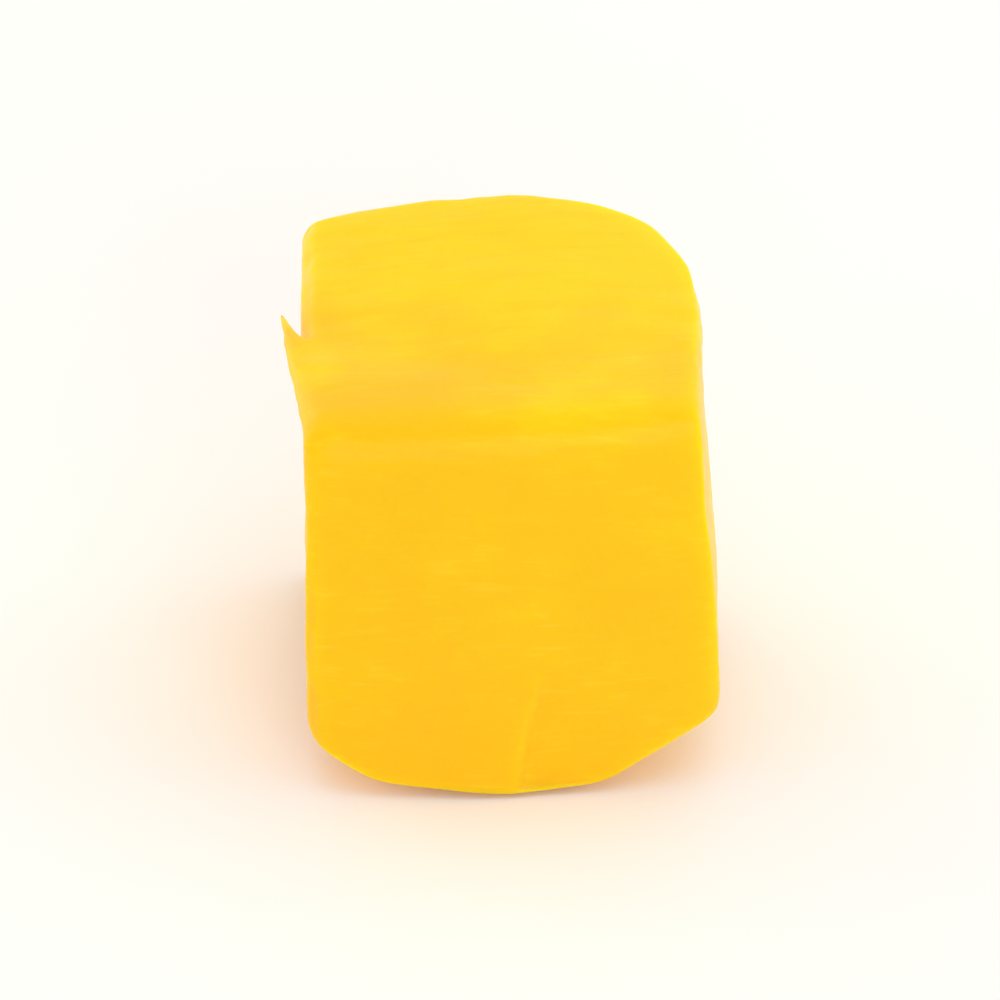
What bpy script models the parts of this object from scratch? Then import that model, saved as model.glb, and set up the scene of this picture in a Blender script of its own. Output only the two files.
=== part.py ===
"""Mango cube: one chunk of ripe mango flesh, about 26 mm a side, as diced for a fruit tub.

Five of its sides are knife cuts and the sixth, underneath, is the outer side of the fruit, where a
peeler left flat strips along a rounded back. The flesh is soft, so every edge is a little rounded,
some are nicked, and one has a lip.

Run it with blender --background --python part.py, or from Blender's text editor.
Metres, +Z up, -Y is the front.
"""

from collections import namedtuple
import math
import random

import bmesh
import bpy
from mathutils import Vector, noise
import numpy as np

MM = 0.001

# The block before it is trimmed: X is across, Y runs from front to back, Z is up.
WIDTH = 26.0 * MM
DEPTH = 25.4 * MM
HEIGHT = 26.0 * MM
HALF = np.array([WIDTH, DEPTH, HEIGHT]) / 2

# The net of faces over the block.
CELLS = 28  # along each edge of the block
CROWDING = 0.82  # 0 spaces the net evenly, 1 draws it right up to the edges

# How the five cuts stand to each other.
TOP_TAPER = 0.050  # share of the width that is lost from bottom to top
TOP_ROLL = 0.060  # rise of the top across the width, in mm for each mm
YAW = math.radians(-1.0)  # turn of the top of the block against its foot

EDGE_RADIUS = 0.95 * MM
SOFT_EDGE_RADIUS = 2.1 * MM  # the edge between top and front, where the flesh is rubbed round

# A knife or peeler stroke: a plane that trims the block. `at` is a point of the plane in halves of
# the block, `sunk` how far the plane lies inside that point, and `facing` its outward direction.
# `blend` is how far its edges are rubbed.
Stroke = namedtuple("Stroke", "at sunk facing blend")

# A swelling or hollow over a whole side. `out` is how far it stands out at `centre`, which is given
# in halves of the block.
Swell = namedtuple("Swell", "side centre reach out")

# A nick, where the knife tore a flat bite out of an edge. `edge` names the two sides that meet there,
# `middle` is its place along the edge from -1 to 1, `reach` half its length, and `deep` its depth.
Nick = namedtuple("Nick", "edge middle reach deep")


def tilted(axis, sign, towards, degrees):
    """The unit direction `sign` along `axis`, turned by `degrees` towards the direction `towards`."""
    straight = np.zeros(3)
    straight["XYZ".index(axis)] = sign
    aside = np.array(towards, float)
    angle = math.radians(degrees)
    return math.cos(angle) * straight + math.sin(angle) * aside


# The peeler's strips, underneath. The gentle ones meet the foot in a crisp border.
PEEL_STROKES = (
    Stroke((0.43, 0, -1), 0.0, tilted("Z", -1, (1, 0, 0), 15), 0.10 * MM),
    Stroke((0.74, 0, -1), 1.70 * MM, tilted("Z", -1, (0.985, -0.17, 0), 32), 0.9 * MM),
    Stroke((-0.41, 0, -1), 0.0, tilted("Z", -1, (-1, 0, 0), 15), 0.10 * MM),
    Stroke((-0.74, 0, -1), 1.15 * MM, tilted("Z", -1, (-0.99, -0.10, 0), 31), 0.9 * MM),
    Stroke((0.05, -0.84, -1), 0.0, tilted("Z", -1, (0.5, -0.87, 0), 12), 0.10 * MM),
    Stroke((-0.05, -0.84, -1), 0.0, tilted("Z", -1, (-0.5, -0.87, 0), 12), 0.10 * MM),
    Stroke((0, 0.62, -1), 0.0, tilted("Z", -1, (0, 1, 0), 14), 0.10 * MM),
)

CUT_STROKES = (
    # The knife turned a little on its way through the right third of the front.
    Stroke((0.28, -1, -0.22), -0.90 * MM, tilted("Y", -1, (1, 0, 0.20), 11), 0.90 * MM),
    # The corner at the back on the right was the rounded flank of the fruit.
    Stroke((1, 1, 0), 4.4 * MM, tilted("Y", 1, (1, 0, 0.05), 29), 1.0 * MM),
    Stroke((1, 1, 0), 4.6 * MM, tilted("Y", 1, (1, 0, 0.05), 62), 1.0 * MM),
    # The upper part of the front leans back a little, and that of the right side leans in.
    Stroke((0, -1, 0.10), 0.0, tilted("Y", -1, (0, 0, 1), 7), 1.5 * MM),
    Stroke((1, 0, 1), 1.15 * MM, tilted("X", 1, (0, 0, 1), 5), 1.5 * MM),
    # The left end of the top, trimmed flatter.
    Stroke((-1, -0.2, 1), -0.20 * MM, tilted("Z", 1, (-1, -0.2, 0), 7), 1.0 * MM),
)

SWELLS = (
    Swell("-Y", (-0.02, 0, -0.95), 1.15, 3.1 * MM),
    Swell("+Z", (0.05, 0.90, 0), 1.35, 1.7 * MM),
    Swell("+Y", (-0.30, 0, 0.60), 1.20, 1.3 * MM),
    Swell("-X", (0, 0.90, 0.95), 1.50, 0.85 * MM),
    Swell("-X", (0, -0.10, -0.25), 0.90, -0.25 * MM),
    Swell("+X", (0, -0.60, 0.05), 0.95, 0.15 * MM),
)

# Slow unevenness of the cut flesh.
WAVE_LENGTH = 8.5 * MM
WAVE_HEIGHT = 0.26 * MM
RIPPLE_LENGTH = 3.2 * MM
RIPPLE_HEIGHT = 0.09 * MM

# The lip on the left, a sliver that the knife dragged over the edge. It grows out from its start and
# comes free between its root and its end, each a place from front to back. Its torn tip points back.
LIP_START = -11.0 * MM
LIP_ROOT = -1.1 * MM
LIP_END = 0.1 * MM
LIP_LEVEL = 11.65 * MM  # how high it lies above the middle of the block
LIP_THICKNESS = 1.9 * MM
LIP_OUT = 1.7 * MM
LIP_BACK = 6.2 * MM

NICKS = (
    Nick("+X-Y", -0.60, 2.0 * MM, 0.35 * MM),
    Nick("-X-Y", -0.55, 2.6 * MM, 0.30 * MM),
    Nick("+Y+Z", 0.30, 3.0 * MM, 0.45 * MM),
    Nick("+X+Z", 0.30, 2.2 * MM, 0.28 * MM),
    Nick("-X+Y", 0.35, 3.4 * MM, 0.70 * MM),
)
# Small ones, strewn by a seeded draw over these edges. The edge between top and front has none.
SMALL_NICKS = 13
NICK_EDGES = ("+X-Y", "-X-Y", "+X+Y", "-X+Y", "+X+Z", "-X+Z", "+Y+Z")
NICK_REACH = (0.9 * MM, 2.2 * MM)
NICK_DEPTH = (0.10 * MM, 0.26 * MM)
NICK_SEED = 7

SETTLE = 0.58 * MM  # how far the flesh gives way where it stands

# The flesh between these two heights is rubbed round, as it gets where it is handled.
RUB_HEIGHTS = (1.2 * MM, 9.0 * MM)
RUB_PASSES = 4

FLESH_COLOUR = (1.0, 0.60, 0.015, 1.0)
FLESH_ROUGHNESS = 0.38


def clear_scene():
    """Removes whatever the start-up scene holds."""
    for old in list(bpy.data.objects):
        bpy.data.objects.remove(old, do_unlink=True)


def crowded(steps):
    """Moves even steps from -1 to 1 outwards, so that the net is finer along the edges."""
    return steps + CROWDING * 0.5 * steps * (1 - steps**2)


def netted_cube():
    """A cube from -1 to 1 with a net of CELLS x CELLS faces on each side."""
    net = bmesh.new()
    bmesh.ops.create_cube(net, size=2)
    bmesh.ops.subdivide_edges(net, edges=net.edges[:], cuts=CELLS - 1, use_grid_fill=True)
    return net


def round_edges(places, radius):
    """Rounds the box that `places` lie on. It returns the new places and the direction outwards at each."""
    core = np.clip(places, radius - HALF, HALF - radius)
    outwards = places - core
    outwards /= np.linalg.norm(outwards, axis=1, keepdims=True)
    return core + radius * outwards, outwards


def edge_radii(share):
    """The radius of the nearest edge, larger along the edge between top and front."""
    near = np.clip((share[:, 2] - share[:, 1] - 1.0) / 0.8, 0, 1)
    return (EDGE_RADIUS + (SOFT_EDGE_RADIUS - EDGE_RADIUS) * near**2)[:, None]


def lean(places):
    """Tapers, rolls and twists the block, as cuts made by hand are never square."""
    x, y, z = places.T
    height = z / HALF[2]
    x = x * (1 - TOP_TAPER * (1 + height) / 2)
    z = z + TOP_ROLL * x * (1 + height) / 2
    turn = YAW * height
    return np.column_stack([x * np.cos(turn) - y * np.sin(turn), x * np.sin(turn) + y * np.cos(turn), z])


def swell(places, share, one):
    """Pushes one side out, or in, most of all at its centre."""
    axis = "XYZ".index(one.side[1])
    sign = 1 if one.side[0] == "+" else -1
    others = [a for a in range(3) if a != axis]
    away = np.linalg.norm((share - np.array(one.centre))[:, others], axis=1) / one.reach
    bulge = np.clip(1 - away**2, 0, None) ** 1.5
    nearness = np.clip((1 + sign * share[:, axis]) / 2, 0, 1) ** 2
    places[:, axis] += sign * one.out * bulge * nearness
    return places


def trim(places, stroke):
    """Cuts off what stands outside the stroke's plane and rubs the new edge round."""
    facing = stroke.facing / np.linalg.norm(stroke.facing)
    plane_point = np.array(stroke.at) * HALF - stroke.sunk * facing
    beyond = (places - plane_point) @ facing
    blend = stroke.blend
    eased = (beyond + blend) ** 2 / (4 * blend)
    cut = np.where(beyond > blend, beyond, np.where(beyond < -blend, 0, eased))
    return places - cut[:, None] * facing


def noise_at(places, length, start):
    """Smooth noise from -1 to 1 with that wavelength. `start` is an offset that makes each use its own."""
    offset = Vector((start, -start, 2 * start))
    return np.array([noise.noise(Vector(p) / length + offset) for p in places])


def roughen(places, outwards):
    """Adds the slow waves of flesh that gave way under the knife."""
    waves = WAVE_HEIGHT * noise_at(places, WAVE_LENGTH, 3.1)
    ripples = RIPPLE_HEIGHT * noise_at(places, RIPPLE_LENGTH, 11.7)
    return places + (waves + ripples)[:, None] * outwards


def lip(places, outwards):
    """Draws the lip out to the left, and its tip back."""
    growth = np.interp(places[:, 1], (LIP_START, LIP_ROOT, LIP_END), (0, 1, 0))
    off_level = (places[:, 2] - LIP_LEVEL) / (LIP_THICKNESS / 2)
    on_left = np.sqrt(np.clip(-outwards[:, 0], 0, 1))
    share = growth * on_left * np.clip(1 - off_level**2, 0, None) ** 1.5
    return places + np.column_stack([-LIP_OUT * share, LIP_BACK * share**2, np.zeros(len(share))])


def small_nicks():
    """The small nicks, by a seeded draw."""
    draw = random.Random(NICK_SEED)
    for _ in range(SMALL_NICKS):
        edge = draw.choice(NICK_EDGES)
        yield Nick(edge, draw.uniform(-0.85, 0.85), draw.uniform(*NICK_REACH), draw.uniform(*NICK_DEPTH))


def nicked(places, nick):
    """Cuts one nick across an edge of the rounded box, deepest in its middle."""
    facing = np.zeros(3)
    for sign, axis in (nick.edge[:2], nick.edge[2:]):
        facing["XYZ".index(axis)] = 1 if sign == "+" else -1
    along = int(np.argmin(np.abs(facing)))
    facing /= np.linalg.norm(facing)
    ridge = np.abs(facing) @ (HALF - EDGE_RADIUS) + EDGE_RADIUS
    off_middle = (places[:, along] - nick.middle * HALF[along]) / nick.reach
    bite = nick.deep * np.clip(1 - off_middle**2, 0, None)
    cut = np.clip(places @ facing - ridge + bite, 0, None)
    return places - cut[:, None] * facing


def stand(places):
    """Puts the chunk on z = 0 with its middle over the origin, and flattens the spot that it stands on."""
    low, high = places.min(axis=0), places.max(axis=0)
    places = places - [(low[0] + high[0]) / 2, (low[1] + high[1]) / 2, low[2] + SETTLE]
    places[:, 2] = np.maximum(places[:, 2], 0)
    return places


def shaped(cube_points):
    """The surface of the chunk for points on the cube from -1 to 1."""
    share = crowded(cube_points)
    places, outwards = round_edges(share * HALF, edge_radii(share))
    for nick in (*NICKS, *small_nicks()):
        places = nicked(places, nick)
    for one in SWELLS:
        places = swell(places, share, one)
    places = lean(places)
    for stroke in CUT_STROKES:
        places = trim(places, stroke)
    places = roughen(places, outwards)
    for stroke in PEEL_STROKES:
        places = trim(places, stroke)
    return stand(lip(places, outwards))


def rub(net):
    """Rubs the flesh round the foot a little smoother."""
    low, high = RUB_HEIGHTS
    verts = [vertex for vertex in net.verts if low < vertex.co.z < high]
    bmesh.ops.smooth_vert(net, verts=verts, factor=0.5, use_axis_x=True, use_axis_y=True, use_axis_z=True)


def flesh_material():
    """Ripe mango flesh: deep golden yellow, moist."""
    flesh = bpy.data.materials.new("mango_flesh")
    flesh.use_nodes = True
    shader = flesh.node_tree.nodes["Principled BSDF"]
    shader.inputs["Base Color"].default_value = FLESH_COLOUR
    shader.inputs["Roughness"].default_value = FLESH_ROUGHNESS
    shader.inputs["Metallic"].default_value = 0.0
    return flesh


def build_mango_cube():
    net = netted_cube()
    places = shaped(np.array([vertex.co for vertex in net.verts], float))
    for vertex, place in zip(net.verts, places):
        vertex.co = place
    for _ in range(RUB_PASSES):
        rub(net)
    bmesh.ops.recalc_face_normals(net, faces=net.faces[:])
    mesh = bpy.data.meshes.new("mango_cube")
    net.to_mesh(mesh)
    net.free()
    mesh.materials.append(flesh_material())
    mesh.shade_smooth()
    cube = bpy.data.objects.new("mango_cube", mesh)
    bpy.context.scene.collection.objects.link(cube)


clear_scene()
build_mango_cube()
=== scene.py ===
"""Mango cube, dressed: smooth, moist, ripe flesh with a faint grain of fibres.

A knife cut five of its sides, and a peeler left the rounded back of the fruit underneath. Metres, +Z up,
-Y is the front. The fibres of the flesh run from left to right.
"""

import math
import random

import bmesh
import bpy
from mathutils import Euler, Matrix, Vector, noise
import numpy as np


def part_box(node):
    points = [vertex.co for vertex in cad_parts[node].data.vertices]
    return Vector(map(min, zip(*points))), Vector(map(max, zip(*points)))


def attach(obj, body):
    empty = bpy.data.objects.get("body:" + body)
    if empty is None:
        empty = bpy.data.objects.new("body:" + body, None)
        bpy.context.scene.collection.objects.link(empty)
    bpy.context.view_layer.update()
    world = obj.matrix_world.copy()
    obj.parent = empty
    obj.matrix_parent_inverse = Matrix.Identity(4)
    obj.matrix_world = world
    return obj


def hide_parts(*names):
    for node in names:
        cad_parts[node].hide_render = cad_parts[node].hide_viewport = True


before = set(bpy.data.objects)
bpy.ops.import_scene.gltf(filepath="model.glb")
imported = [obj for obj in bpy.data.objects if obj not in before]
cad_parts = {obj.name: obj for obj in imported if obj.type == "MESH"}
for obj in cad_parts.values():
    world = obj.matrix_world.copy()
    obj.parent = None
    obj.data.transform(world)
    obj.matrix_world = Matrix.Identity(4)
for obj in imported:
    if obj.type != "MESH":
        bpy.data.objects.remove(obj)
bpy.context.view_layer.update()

MM = 0.001

# ---------------------------------------------------------------- the block and its cuts

WIDTH = 26.0 * MM
DEPTH = 25.4 * MM
HEIGHT = 26.0 * MM
HALF = np.array([WIDTH, DEPTH, HEIGHT]) / 2

CELLS = 126  # faces along each edge of the net
CROWDING = 0.55  # 0 spaces the net evenly, 1 draws it right up to the edges

TOP_TAPER = 0.050  # share of the width that is lost from bottom to top
TOP_ROLL = 0.060  # rise of the top across the width, in mm for each mm
YAW = math.radians(-1.0)

EDGE_RADIUS = 0.95 * MM
SOFT_EDGE_RADIUS = 2.1 * MM  # between top and front, where the flesh is rubbed round
SOFT_EDGE_REACH = 0.8  # how far it takes to grow, from the middle of top and front, in halves of the block

SETTLE = 0.58 * MM  # how far the flesh gives way where it stands


def tilted(axis, sign, towards, degrees):
    """The unit direction `sign` along `axis`, turned by `degrees` towards the direction `towards`."""
    straight = np.zeros(3)
    straight["XYZ".index(axis)] = sign
    angle = math.radians(degrees)
    facing = math.cos(angle) * straight + math.sin(angle) * np.array(towards, float)
    return facing / np.linalg.norm(facing)


# Each stroke is a point of its plane in halves of the block, how far inside that point the plane lies, the
# direction it faces, and how far its edges are rubbed round.
KNIFE_STROKES = (
    ((0.28, -1, -0.22), -0.90 * MM, tilted("Y", -1, (1, 0, 0.20), 11), 0.90 * MM),
    ((1, 1, 0), 4.4 * MM, tilted("Y", 1, (1, 0, 0.05), 29), 1.0 * MM),
    ((1, 1, 0), 4.6 * MM, tilted("Y", 1, (1, 0, 0.05), 62), 1.0 * MM),
    ((0, -1, 0.10), 0.0, tilted("Y", -1, (0, 0, 1), 7), 1.5 * MM),
    ((1, 0, 1), 1.15 * MM, tilted("X", 1, (0, 0, 1), 5), 1.5 * MM),
    ((-1, -0.2, 1), -0.20 * MM, tilted("Z", 1, (-1, -0.2, 0), 7), 1.0 * MM),
    ((0, -1, 1), 2.0 * MM, tilted("Y", -1, (-0.05, 0, 1), 45), 0.9 * MM),  # only rubs the soft edge
)
PEELER_STROKES = (
    ((0.43, 0, -1), 0.0, tilted("Z", -1, (1, 0, 0), 15), 0.10 * MM),
    ((0.74, 0, -1), 1.70 * MM, tilted("Z", -1, (0.985, -0.17, 0), 32), 0.9 * MM),
    ((-0.41, 0, -1), 0.0, tilted("Z", -1, (-1, 0, 0), 15), 0.10 * MM),
    ((-0.74, 0, -1), 1.15 * MM, tilted("Z", -1, (-0.99, -0.10, 0), 31), 0.9 * MM),
    ((0.05, -0.84, -1), 0.0, tilted("Z", -1, (0.5, -0.87, 0), 12), 0.10 * MM),
    ((-0.05, -0.84, -1), 0.0, tilted("Z", -1, (-0.5, -0.87, 0), 12), 0.10 * MM),
    ((0, 0.62, -1), 0.0, tilted("Z", -1, (0, 1, 0), 14), 0.10 * MM),
)

# Each swelling is a side, its centre in halves of the block, its reach, and how far it stands out.
SWELLS = (
    ("-Y", (-0.02, 0, -0.95), 1.15, 3.1 * MM),
    ("+Z", (0.05, 0.90, 0), 1.35, 1.7 * MM),
    ("+Y", (-0.30, 0, 0.60), 1.20, 1.3 * MM),
    ("-X", (0, 0.90, 0.95), 1.50, 0.85 * MM),
    ("-X", (0, -0.10, -0.25), 0.90, -0.25 * MM),
    ("+X", (0, -0.60, 0.05), 0.95, 0.15 * MM),
)

# The lip on the left, a sliver that the knife dragged over the edge. It grows out from its start and comes
# free between its root and its end, each a place from front to back. Its torn tip points back.
LIP_START = -11.0 * MM
LIP_ROOT = -1.1 * MM
LIP_END = 0.1 * MM
LIP_LEVEL = 11.65 * MM  # how high it lies above the middle of the block
LIP_THICKNESS = 1.9 * MM
LIP_OUT = 1.7 * MM
LIP_BACK = 6.2 * MM
LIP_RAGGED = (1.1 * MM, 0.30, 37.0)  # size of the tears in its edge, their share of it, and a start

# Each nick is the two sides whose edge it cuts, its middle along that edge from -1 to 1, half its length,
# and its depth.
NICKS = (
    ("+X-Y", -0.60, 2.0 * MM, 0.35 * MM),
    ("-X-Y", -0.55, 2.6 * MM, 0.30 * MM),
    ("+Y+Z", 0.30, 3.0 * MM, 0.45 * MM),
    ("+X+Z", 0.30, 2.2 * MM, 0.28 * MM),
    ("-X+Y", 0.35, 3.4 * MM, 0.70 * MM),
)
# Small ones, strewn by a seeded draw over these edges. The edge between top and front has none.
SMALL_NICKS = 13
NICK_EDGES = ("+X-Y", "-X-Y", "+X+Y", "-X+Y", "+X+Z", "-X+Z", "+Y+Z")
NICK_REACH = (0.9 * MM, 2.2 * MM)
NICK_DEPTH = (0.10 * MM, 0.26 * MM)
NICK_SPREAD = 0.85  # how far from the middle of its edge one lies, at most
NICK_SEED = 7

# ---------------------------------------------------------------- relief of the flesh

WAVE = (8.5 * MM, 0.26 * MM, 3.1)  # wavelength, height, and where in the noise it starts
RIPPLE = (3.2 * MM, 0.09 * MM, 11.7)

FIBRE_SLANT = Euler((0, math.radians(7), math.radians(-9)))  # the fibres run a little askew to the cuts
FIBRE_STRETCH = 7.0  # how much longer than wide the streaks are
FIBRE_BUNDLE = (1.3 * MM, 0.045 * MM, 23.0)
FIBRE = (0.55 * MM, 0.028 * MM, 41.0)
FIBRE_PATCH = (5.5 * MM, 1.2, 87.0)  # they show in patches of this size
FIBRE_COVER = 0.6  # the higher, the more of the flesh the patches cover
FIBRE_FAINTEST = 0.25  # share of their height that is left between the patches

FRAY = (1.7 * MM, 0.20 * MM, 57.0)  # how the edges are worn back, coarse and fine
FINE_FRAY = (0.75 * MM, 0.10 * MM, 63.0)
MEAN_FRAY = 0.06 * MM  # how far they are worn back apart from that
TORN_FROM = 0.5 * MM  # where this much is gone, the flesh looks fully torn

# The crease low on the front, where the knife was turned: its upper and lower end as X and Z.
CREASE_TOP = (3.1 * MM, 9.5 * MM)
CREASE_FOOT = (1.3 * MM, 1.2 * MM)
CREASE_DEPTH = 0.30 * MM
CREASE_WIDTH = 0.60 * MM
CREASE_STEP = 0.38 * MM  # how much lower the flesh lies on its right
CREASE_STEP_REACH = 6.0 * MM  # how far to the right it lies lower
CREASE_FADES = (0.35, 0.15)  # share of its length over which it fades in at its top, and out past its foot
CREASE_WANDER = (2.4 * MM, 0.30 * MM, 71.0)

# How many times the flesh is rubbed round, as it gets where it is handled and stands.
RUB_PASSES = 4  # all over
LIP_PASSES = 2
SOFT_EDGE_PASSES = 40  # along the edge between top and front, fewer on both sides of it
FOOT_PASSES = 80  # at the foot, fewer up to the height below
FOOT_HEIGHT = 8.0 * MM
FLAT_BELOW = 0.01 * MM  # the spot that it stands on stays flat


def crowded(steps):
    """Moves even steps from -1 to 1 outwards, so that the net is finer along the edges."""
    return steps + CROWDING * 0.5 * steps * (1 - steps**2)


def round_edges(places, radius):
    """Rounds the box that `places` lie on. It returns the new places and the direction outwards at each."""
    core = np.clip(places, radius - HALF, HALF - radius)
    outwards = places - core
    outwards /= np.linalg.norm(outwards, axis=1, keepdims=True)
    return core + radius * outwards, outwards


def near_soft_edge(share):
    """1 along the edge between top and front, falling to 0 by the middle of both."""
    return np.clip((share[:, 2] - share[:, 1] - 1) / SOFT_EDGE_REACH, 0, 1) ** 2


def edge_radii(share):
    """The radius of the nearest edge, larger along the edge between top and front."""
    return (EDGE_RADIUS + (SOFT_EDGE_RADIUS - EDGE_RADIUS) * near_soft_edge(share))[:, None]


def swell(places, share, side, centre, reach, out):
    """Pushes one side out, or in, most of all at its centre."""
    axis = "XYZ".index(side[1])
    sign = 1 if side[0] == "+" else -1
    others = [a for a in range(3) if a != axis]
    away = np.linalg.norm((share - np.array(centre))[:, others], axis=1) / reach
    bulge = np.clip(1 - away**2, 0, None) ** 1.5
    nearness = np.clip((1 + sign * share[:, axis]) / 2, 0, 1) ** 2
    places[:, axis] += sign * out * bulge * nearness
    return places


def lean(places):
    """Tapers, rolls and twists the block, as cuts made by hand are never square."""
    x, y, z = places.T
    height = z / HALF[2]
    x = x * (1 - TOP_TAPER * (1 + height) / 2)
    z = z + TOP_ROLL * x * (1 + height) / 2
    turn = YAW * height
    return np.column_stack([x * np.cos(turn) - y * np.sin(turn), x * np.sin(turn) + y * np.cos(turn), z])


def trim(places, at, sunk, facing, blend):
    """Cuts off what stands outside the stroke's plane and rubs the new edge round."""
    plane_point = np.array(at) * HALF - sunk * facing
    beyond = (places - plane_point) @ facing
    eased = (beyond + blend) ** 2 / (4 * blend)
    cut = np.where(beyond > blend, beyond, np.where(beyond < -blend, 0, eased))
    return places - cut[:, None] * facing


def noise_at(places, length, height, start):
    """Smooth noise of that wavelength and height. `start` makes each use its own."""
    offset = Vector((start, -start, 2 * start))
    return height * np.array([noise.noise(Vector(p) / length + offset) for p in places])


def along_fibres(places):
    """The places as the fibres see them: turned to their slant and squeezed along them."""
    turned = places @ np.array(FIBRE_SLANT.to_matrix())
    turned[:, 0] /= FIBRE_STRETCH
    return turned


def lip_share(places, outwards):
    """How far each place is drawn out into the lip, from 0 to 1."""
    growth = np.interp(places[:, 1], (LIP_START, LIP_ROOT, LIP_END), (0, 1, 0))
    off_level = (places[:, 2] - LIP_LEVEL) / (LIP_THICKNESS / 2)
    on_left = np.sqrt(np.clip(-outwards[:, 0], 0, 1))
    whole = growth * on_left * np.clip(1 - off_level**2, 0, None) ** 1.5
    return whole * (1 - np.clip(noise_at(places, *LIP_RAGGED), 0, None))


def small_nicks():
    """The small nicks, by a seeded draw."""
    draw = random.Random(NICK_SEED)
    for _ in range(SMALL_NICKS):
        edge = draw.choice(NICK_EDGES)
        middle = draw.uniform(-NICK_SPREAD, NICK_SPREAD)
        yield edge, middle, draw.uniform(*NICK_REACH), draw.uniform(*NICK_DEPTH)


def wear(places, edge, bite_at):
    """Cuts an edge of the rounded box back by what `bite_at` gives for the places along it."""
    facing = np.zeros(3)
    for sign, axis in (edge[:2], edge[2:]):
        facing["XYZ".index(axis)] = 1 if sign == "+" else -1
    along = int(np.argmin(np.abs(facing)))
    facing /= np.linalg.norm(facing)
    ridge = np.abs(facing) @ (HALF - EDGE_RADIUS) + EDGE_RADIUS
    cut = np.clip(places @ facing - ridge + bite_at(places[:, along] / HALF[along], HALF[along]), 0, None)
    return places - cut[:, None] * facing


def nicked(places):
    """Cuts the nicks, each deepest in its middle."""
    for edge, middle, reach, deep in (*NICKS, *small_nicks()):
        places = wear(places, edge, lambda share, half: deep * np.clip(
            1 - ((share - middle) * half / reach) ** 2, 0, None))
    return places


def frayed(places):
    """Wears the same edges back a little everywhere, unevenly."""
    bite = np.clip(noise_at(places, *FRAY) + noise_at(places, *FINE_FRAY) + MEAN_FRAY, 0, None)
    for edge in NICK_EDGES:
        places = wear(places, edge, lambda share, half: bite)
    return places


def smooth_step(value):
    """0 below 0, 1 above 1, and eased in between."""
    value = np.clip(value, 0, 1)
    return value * value * (3 - 2 * value)


def crease(places, outwards):
    """How deep the turned knife's mark is: a groove low on the front, and a step down on its right."""
    top, foot = np.array(CREASE_TOP), np.array(CREASE_FOOT)
    run = foot - top
    length = np.linalg.norm(run)
    along = ((places[:, [0, 2]] - top) @ run) / length**2
    across = ((places[:, [0, 2]] - top) @ np.array([-run[1], run[0]])) / length
    across = across + noise_at(places, *CREASE_WANDER)
    on_front = np.clip(-outwards[:, 1], 0, 1) ** 2
    fade_in, fade_out = CREASE_FADES
    fade = smooth_step(along / fade_in) * smooth_step((1 + fade_out - along) / fade_out)
    groove = CREASE_DEPTH * np.exp(-(across / (CREASE_WIDTH / 2)) ** 2)
    step = smooth_step(across / CREASE_WIDTH) * (1 - smooth_step(across / CREASE_STEP_REACH))
    return (groove + CREASE_STEP * step) * fade * on_front


def grain(places):
    """The low relief of the fibres, which show in patches and fade out between them."""
    stretched = along_fibres(places)
    patch = smooth_step(FIBRE_COVER + noise_at(places, *FIBRE_PATCH))
    height = noise_at(stretched, *FIBRE_BUNDLE) + noise_at(stretched, *FIBRE)
    return height * (FIBRE_FAINTEST + (1 - FIBRE_FAINTEST) * patch)


def stand(places):
    """Puts the chunk where the solid stands, and flattens the spot that it rests on."""
    solid_low, solid_high = (np.array(corner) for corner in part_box("mango_cube"))
    low, high = places.min(axis=0), places.max(axis=0)
    shift = (solid_low + solid_high) / 2 - (low + high) / 2
    shift[2] = -low[2] - SETTLE
    places = places + shift
    places[:, 2] = np.maximum(places[:, 2], 0)
    return places


def rubbing(places, share, drawn):
    """How many times the flesh is rubbed at each place."""
    towards_foot = np.clip(1 - places[:, 2] / FOOT_HEIGHT, 0, 1)
    passes = RUB_PASSES + SOFT_EDGE_PASSES * near_soft_edge(share) + FOOT_PASSES * towards_foot
    passes = np.where(drawn > 0, LIP_PASSES, passes)
    return np.where(places[:, 2] < FLAT_BELOW, 0, passes)


def cut_form(cube_points):
    """The cut chunk for points on the cube from -1 to 1.

    It returns the places, the way out at each, how torn it is there, how far it is drawn out into the lip,
    and how many times it is rubbed.
    """
    share = crowded(cube_points)
    whole, outwards = round_edges(share * HALF, edge_radii(share))
    places = frayed(nicked(whole))
    torn = np.clip(np.linalg.norm(whole - places, axis=1) / TORN_FROM, 0, 1)
    for side in SWELLS:
        places = swell(places, share, *side)
    places = lean(places)
    for stroke in KNIFE_STROKES:
        places = trim(places, *stroke)
    waves = noise_at(places, *WAVE) + noise_at(places, *RIPPLE)
    places = places + waves[:, None] * outwards
    for stroke in PEELER_STROKES:
        places = trim(places, *stroke)
    drawn = lip_share(places, outwards)
    places = places + np.column_stack([-LIP_OUT * drawn, LIP_BACK * drawn**2, np.zeros(len(drawn))])
    places = stand(places)
    return places, outwards, torn, drawn, rubbing(places, share, drawn)


def fine_relief(places, outwards):
    """Adds the grain and the crease."""
    places = places + (grain(places) - crease(places, outwards))[:, None] * outwards
    places[:, 2] = np.maximum(places[:, 2], 0)
    return places


# ---------------------------------------------------------------- materials

PATCHINESS = 1.10  # how much riper some places are than others


def linear(hex_colour):
    """A hex colour as sRGB, turned to the linear RGBA that the nodes take."""
    parts = [int(hex_colour[i:i + 2], 16) / 255 for i in (1, 3, 5)]
    return [p / 12.92 if p <= 0.04045 else ((p + 0.055) / 1.055) ** 2.4 for p in parts] + [1.0]


def add(tree, kind, inputs=None, **settings):
    """Adds a node with its settings. `inputs` gives each socket a value, or another node's output."""
    new = tree.nodes.new(kind)
    for name, value in settings.items():
        setattr(new, name, value)
    for socket, value in (inputs or {}).items():
        if isinstance(value, bpy.types.NodeSocket):
            tree.links.new(value, new.inputs[socket])
        else:
            new.inputs[socket].default_value = value
    return new


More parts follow.
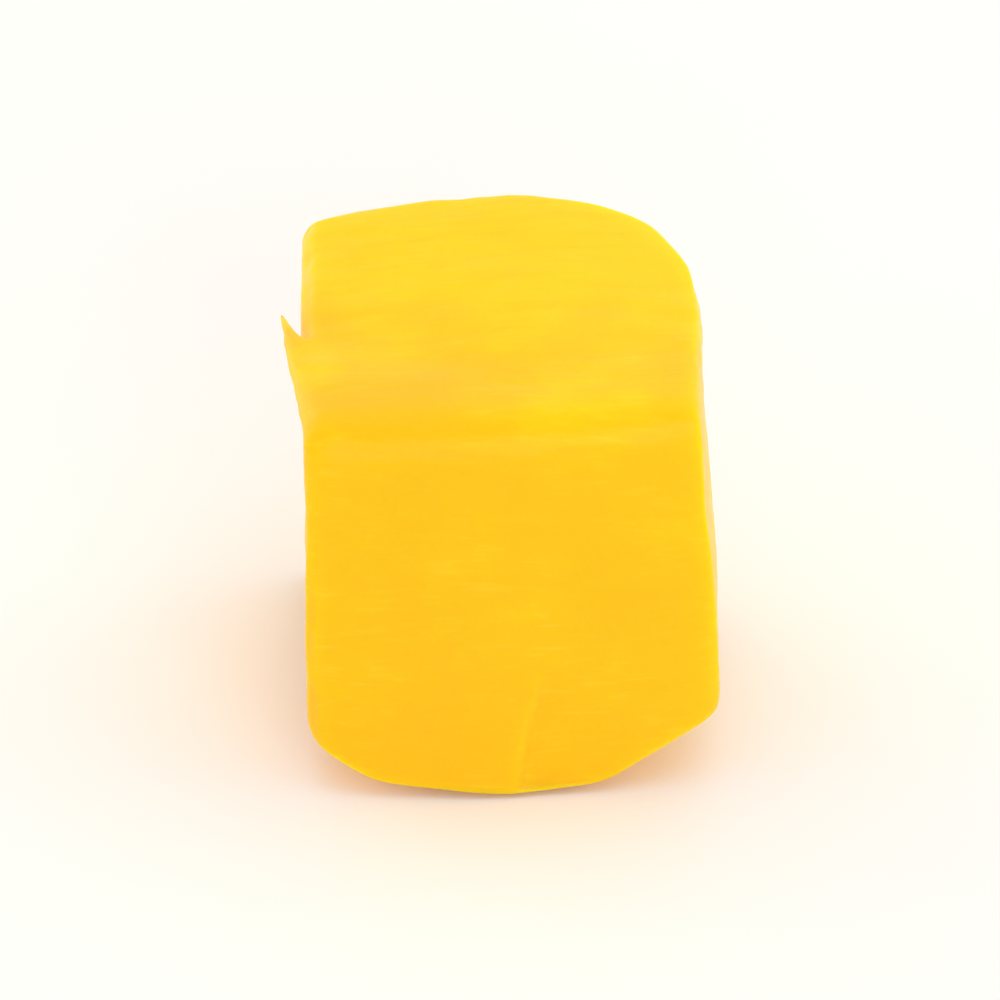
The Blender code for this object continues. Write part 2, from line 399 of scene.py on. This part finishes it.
def flesh():
    """Ripe mango flesh, cut with a knife.

    A moist, translucent fruit flesh: light goes some millimetres in and comes out warm, so shaded sides glow
    orange and edges look soft. Fibres show faintly, as streaks on the top, the front and the back, and as
    dots on the two sides that they end on. A thin film of juice gives it a soft sheen.
    """
    material = bpy.data.materials.new("ripe_mango_flesh_knife_cut")
    material.use_nodes = True
    tree = material.node_tree
    tree.nodes.clear()

    place = add(tree, "ShaderNodeTexCoord").outputs["Object"]
    slanted = add(tree, "ShaderNodeMapping", {
        "Vector": place,
        "Rotation": (0, -FIBRE_SLANT.y, -FIBRE_SLANT.z),
        "Scale": (1 / FIBRE_STRETCH, 1, 1),
    }).outputs["Vector"]

    # Fibres: bundles 1.3 mm wide, and single ones that are drawn 0.35 mm wide so that they still show.
    # Some places are riper than others, in patches about 8 mm wide. The film of juice is finely uneven.
    bundles = add(tree, "ShaderNodeTexNoise", {"Vector": slanted, "Scale": 1 / (1.3 * MM), "Detail": 3.0})
    fibres = add(tree, "ShaderNodeTexNoise", {"Vector": slanted, "Scale": 1 / (0.35 * MM), "Detail": 2.0})
    clouds = add(tree, "ShaderNodeTexNoise", {"Vector": place, "Scale": 1 / (8.0 * MM), "Detail": 2.0})
    juice = add(tree, "ShaderNodeTexNoise", {"Vector": place, "Scale": 1 / (0.30 * MM), "Detail": 2.0})

    # Painted shade: the flesh is deeper in colour towards the front, the bottom and the left, and lighter
    # towards the top, back and right, where the light falls. Towards the bottom this also stands for the
    # deeper flesh near the skin, which was underneath.
    from_skin_and_shade = add(tree, "ShaderNodeVectorMath", {0: place, 1: (0.25, 0.75, 0.50)}, operation="DOT_PRODUCT")
    shade_and_skin_depth = add(tree, "ShaderNodeMapRange", {
        "Value": from_skin_and_shade.outputs["Value"], "From Min": -12 * MM, "From Max": 24 * MM,
    }).outputs["Result"]
    patchy = add(tree, "ShaderNodeMath", {
        0: clouds.outputs["Fac"], 1: PATCHINESS, 2: -PATCHINESS / 2,
    }, operation="MULTIPLY_ADD").outputs["Value"]
    # random patches of riper flesh, added to the painted shade towards the front, bottom and left
    ripeness_and_shade = add(tree, "ShaderNodeMath", {0: shade_and_skin_depth, 1: patchy}, operation="ADD").outputs["Value"]
    tone = add(tree, "ShaderNodeValToRGB", {"Fac": ripeness_and_shade})
    ramp = tone.color_ramp
    ramp.elements[0].position, ramp.elements[0].color = 0.0, linear("#FFBA10")
    ramp.elements[1].position, ramp.elements[1].color = 0.80, linear("#FFD004")
    ramp.elements.new(0.46).color = linear("#FFC00C")

    # Streaks and pale fibres show in patches and fade out between them.
    patches = add(tree, "ShaderNodeMapRange", {
        "Value": clouds.outputs["Fac"], "From Min": 0.40, "From Max": 0.60, "To Min": 0.15, "To Max": 1.0,
    }).outputs["Result"]
    streaks = add(tree, "ShaderNodeMapRange", {
        "Value": bundles.outputs["Fac"], "From Min": 0.45, "From Max": 0.70, "To Min": 0.0, "To Max": 0.26,
    }).outputs["Result"]
    streak_share = add(tree, "ShaderNodeMath", {
        0: streaks, 1: patches,
    }, operation="MULTIPLY").outputs["Value"]
    streaked = add(tree, "ShaderNodeMix", {
        "Factor": streak_share, "A": tone.outputs["Color"], "B": linear("#FFB408"),
    }, data_type="RGBA").outputs["Result"]
    pale_fibres = add(tree, "ShaderNodeMapRange", {
        "Value": fibres.outputs["Fac"], "From Min": 0.55, "From Max": 0.74, "To Min": 0.0, "To Max": 0.24,
    }).outputs["Result"]
    pale_share = add(tree, "ShaderNodeMath", {
        0: pale_fibres, 1: patches,
    }, operation="MULTIPLY").outputs["Value"]
    pale = add(tree, "ShaderNodeMix", {
        "Factor": pale_share, "A": streaked, "B": linear("#FFDC3C"),
    }, data_type="RGBA").outputs["Result"]

    # Light goes some millimetres in, but less into the thin lip, which keeps its full yellow.
    drawn = add(tree, "ShaderNodeAttribute", attribute_name="drawn").outputs["Fac"]
    depth_of_glow = add(tree, "ShaderNodeMapRange", {
        "Value": drawn, "From Max": 0.5, "To Min": 3.5 * MM, "To Max": 0.8 * MM,
    }).outputs["Result"]

    # Torn flesh is a little deeper in colour.
    torn = add(tree, "ShaderNodeAttribute", attribute_name="torn").outputs["Fac"]
    torn_share = add(tree, "ShaderNodeMath", {0: torn, 1: 0.22}, operation="MULTIPLY").outputs["Value"]
    colour = add(tree, "ShaderNodeMix", {
        "Factor": torn_share, "A": pale, "B": linear("#FFB00A"),
    }, data_type="RGBA").outputs["Result"]

    roughness = add(tree, "ShaderNodeMapRange", {
        "Value": bundles.outputs["Fac"], "From Min": 0.3, "From Max": 0.7, "To Min": 0.36, "To Max": 0.50,
    }).outputs["Result"]

    fine = add(tree, "ShaderNodeBump", {
        "Height": juice.outputs["Fac"], "Strength": 0.30, "Distance": 0.04 * MM,
    })
    relief = add(tree, "ShaderNodeBump", {
        "Height": fibres.outputs["Fac"], "Strength": 0.40, "Distance": 0.06 * MM,
        "Normal": fine.outputs["Normal"],
    })
    film = add(tree, "ShaderNodeBump", {
        "Height": bundles.outputs["Fac"], "Strength": 0.60, "Distance": 0.16 * MM,
    })

    shader = add(tree, "ShaderNodeBsdfPrincipled", {
        "Base Color": colour,
        "Roughness": roughness,
        "IOR": 1.36,
        "Specular Tint": linear("#FFE58C"),  # stands in for the yellow juice on the cut
        "Subsurface Weight": 1.0,
        "Subsurface Radius": (0.62, 0.50, 0.08),
        "Subsurface Scale": depth_of_glow,
        "Normal": relief.outputs["Normal"],
        "Coat Weight": 0.18,
        "Coat Roughness": 0.18,
        "Coat IOR": 1.33,
        "Coat Normal": film.outputs["Normal"],
    })
    add(tree, "ShaderNodeOutputMaterial", {"Surface": shader.outputs["BSDF"]})
    return material


def board():
    """A painted board, rolled on in white: matt, with the faint unevenness of the roller."""
    material = bpy.data.materials.new("white_matt_painted_board")
    material.use_nodes = True
    tree = material.node_tree
    tree.nodes.clear()
    place = add(tree, "ShaderNodeTexCoord").outputs["Object"]
    mottle = add(tree, "ShaderNodeTexNoise", {"Vector": place, "Scale": 1 / (60 * MM), "Detail": 2.0})
    colour = add(tree, "ShaderNodeMix", {
        "Factor": mottle.outputs["Fac"], "A": linear("#F4F3F1"), "B": linear("#F8F7F5"),
    }, data_type="RGBA").outputs["Result"]
    shader = add(tree, "ShaderNodeBsdfPrincipled", {"Base Color": colour, "Roughness": 0.62, "IOR": 1.45})
    add(tree, "ShaderNodeOutputMaterial", {"Surface": shader.outputs["BSDF"]})
    return material


# ---------------------------------------------------------------- pieces

BOARD_HALF = 3.0  # half the width of the board, so that its edge stays out of sight


def show(net, name, material):
    """Turns a net into an object of the scene, with that material."""
    mesh = bpy.data.meshes.new(name)
    net.to_mesh(mesh)
    net.free()
    mesh.materials.append(material)
    piece = bpy.data.objects.new(name, mesh)
    bpy.context.scene.collection.objects.link(piece)
    return piece


def rub(net, passes):
    """Rubs the flesh round, each place as often as `passes` says."""
    for turn in range(int(passes.max())):
        verts = [vertex for vertex, times in zip(net.verts, passes) if times > turn]
        bmesh.ops.smooth_vert(
            net, verts=verts, factor=0.5, use_axis_x=True, use_axis_y=True, use_axis_z=True)


def make_flesh():
    """The chunk: a cube's net, shaped by the cuts, rubbed round, and given its fine relief."""
    net = bmesh.new()
    bmesh.ops.create_cube(net, size=2)
    bmesh.ops.subdivide_edges(net, edges=net.edges[:], cuts=CELLS - 1, use_grid_fill=True)
    places, outwards, torn, drawn, passes = cut_form(np.array([vertex.co for vertex in net.verts], float))
    for vertex, place in zip(net.verts, places):
        vertex.co = place
    rub(net, passes)
    places = fine_relief(np.array([vertex.co for vertex in net.verts], float), outwards)
    for vertex, place in zip(net.verts, places):
        vertex.co = place
    for name, shares in (("torn", torn), ("drawn", drawn)):
        layer = net.verts.layers.float.new(name)
        for vertex, share in zip(net.verts, shares):
            vertex[layer] = share
    bmesh.ops.recalc_face_normals(net, faces=net.faces[:])
    piece = show(net, "mango_flesh_chunk", flesh())
    piece.data.shade_smooth()
    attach(piece, "root")
    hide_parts("mango_cube")


def make_floor():
    """The board that the chunk stands on."""
    net = bmesh.new()
    bmesh.ops.create_grid(net, x_segments=1, y_segments=1, size=BOARD_HALF)
    floor = show(net, "studio_board", board())


# ---------------------------------------------------------------- light and camera

MIDDLE = Vector((0, 0, HEIGHT / 2))  # what the lights and the camera look at

BACKDROP = 0.75  # how bright the white room is all round
# Each light is its name, where it stands, the width of its square, its power in watts, and its colour.
LIGHTS = (
    ("overhead_softbox", (0.20, 0.20, 1.25), 1.6, 5.4, "#FFFFFF"),
    ("front_softbox", (0.25, -1.15, 0.28), 0.9, 6.5, "#FFFFFF"),
    ("left_warm_reflector", (-0.90, 0.62, 0.22), 0.8, 4.6, "#FFD8A8"),
    ("right_warm_reflector", (1.05, 0.30, 0.20), 0.8, 2.4, "#FFD8A8"),
)

CAMERA_ELEVATION = math.radians(31.5)
CAMERA_DISTANCE = 0.80
CAMERA_LENS = 464.0  # long, so that the chunk fills the picture without leaning lines


def aim(thing, place):
    """Stands a light or the camera at `place` and turns it to look at the middle of the chunk."""
    thing.location = place
    thing.rotation_mode = "QUATERNION"
    thing.rotation_quaternion = (MIDDLE - Vector(place)).to_track_quat("-Z", "Y")
    bpy.context.scene.collection.objects.link(thing)


def softbox(name, place, size, power, colour):
    """A square light that faces the chunk."""
    light = bpy.data.lights.new(name, "AREA")
    light.shape = "SQUARE"
    light.size = size
    light.energy = power
    light.color = linear(colour)[:3]
    aim(bpy.data.objects.new(name, light), place)


def make_light():
    """Plain, soft studio light: a white room, two softboxes, and warm reflectors for the shaded sides."""
    world = bpy.data.worlds.new("studio")
    bpy.context.scene.world = world
    world.use_nodes = True
    backdrop = world.node_tree.nodes["Background"]
    backdrop.inputs["Color"].default_value = linear("#FFFFFF")
    backdrop.inputs["Strength"].default_value = BACKDROP
    for light in LIGHTS:
        softbox(*light)


def make_camera():
    """The camera, in front of the chunk and above it."""
    data = bpy.data.cameras.new("camera")
    data.lens = CAMERA_LENS
    data.clip_start = 0.01
    camera = bpy.data.objects.new("camera", data)
    back = Vector((0, -math.cos(CAMERA_ELEVATION), math.sin(CAMERA_ELEVATION)))
    aim(camera, MIDDLE + CAMERA_DISTANCE * back)
    bpy.context.scene.camera = camera


make_flesh()
make_floor()
make_light()
make_camera()
bpy.context.scene.view_settings.view_transform = "Standard"
